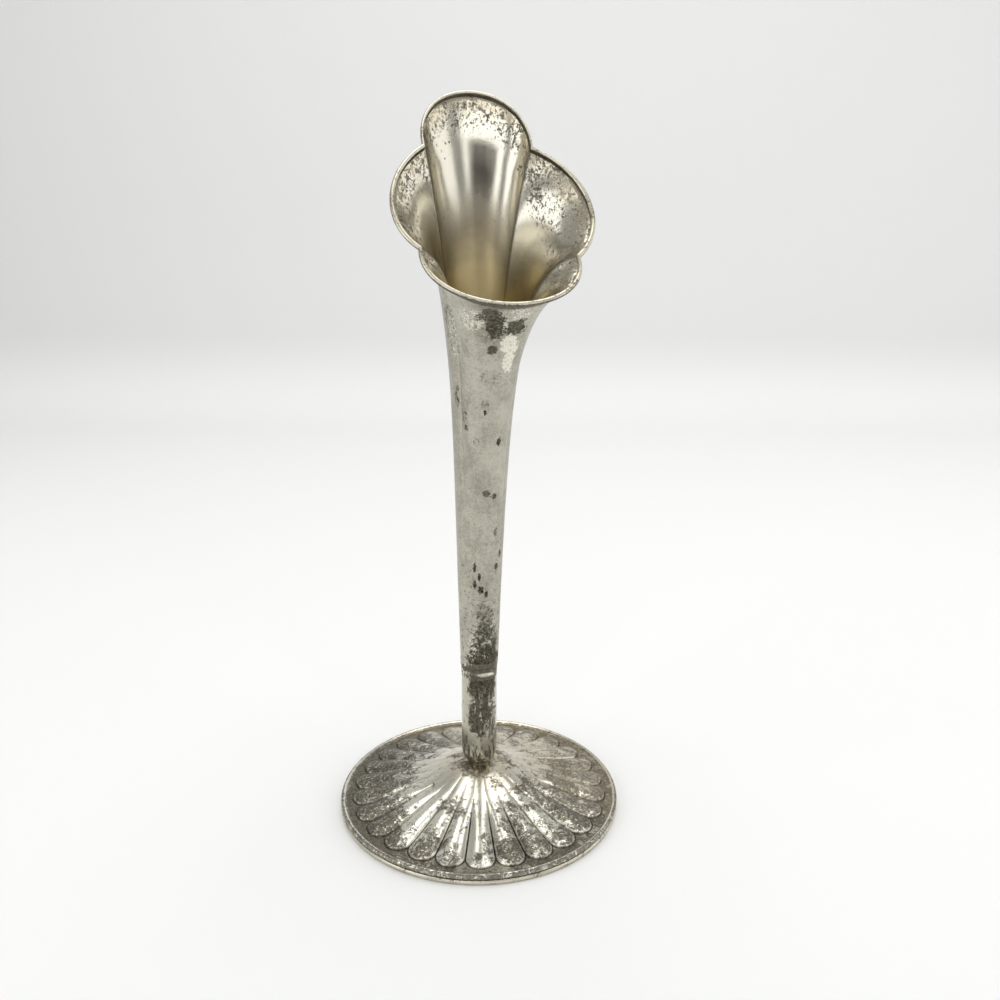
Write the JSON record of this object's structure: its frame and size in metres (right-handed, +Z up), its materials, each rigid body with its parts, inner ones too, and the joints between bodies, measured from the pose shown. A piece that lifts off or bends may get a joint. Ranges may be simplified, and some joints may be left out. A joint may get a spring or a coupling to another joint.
{
  "type": "trumpet vase",
  "caption": "Small silver-plated trumpet vase with a lobed, forward-facing flared mouth, a slender lapped stem and a round petalled foot.",
  "frame": {"origin": "centre of the standing face under the foot wire, on the axis of the foot and stem", "axes": "+Z up along the stem, -Y the way the mouth faces, +X to the right of someone who looks into the mouth"},
  "size_m": [0.0704, 0.0704, 0.1694],
  "materials": {
    "silver_trumpet": "silver plate, satin with fine dark tarnish specks, bright inside the mouth",
    "silver_wire": "silver plate, worn bright on top and dark with tarnish below",
    "silver_stem": "silver plate with long dark tarnish streaks",
    "silver_foot": "silver plate, olive-brown tarnish in the hollows and bright on the petals",
    "solder": "dull dark soft solder"
  },
  "bodies": {
    "root": {"trumpet_shell": "silver_trumpet", "mouth_wire": "silver_wire", "stem_tip": "silver_stem", "joint_solder": "solder", "foot_dome": "silver_foot", "foot_wire": "silver_wire", "base_solder": "solder", "seat_solder": "solder"}
  },
  "joints": []
}
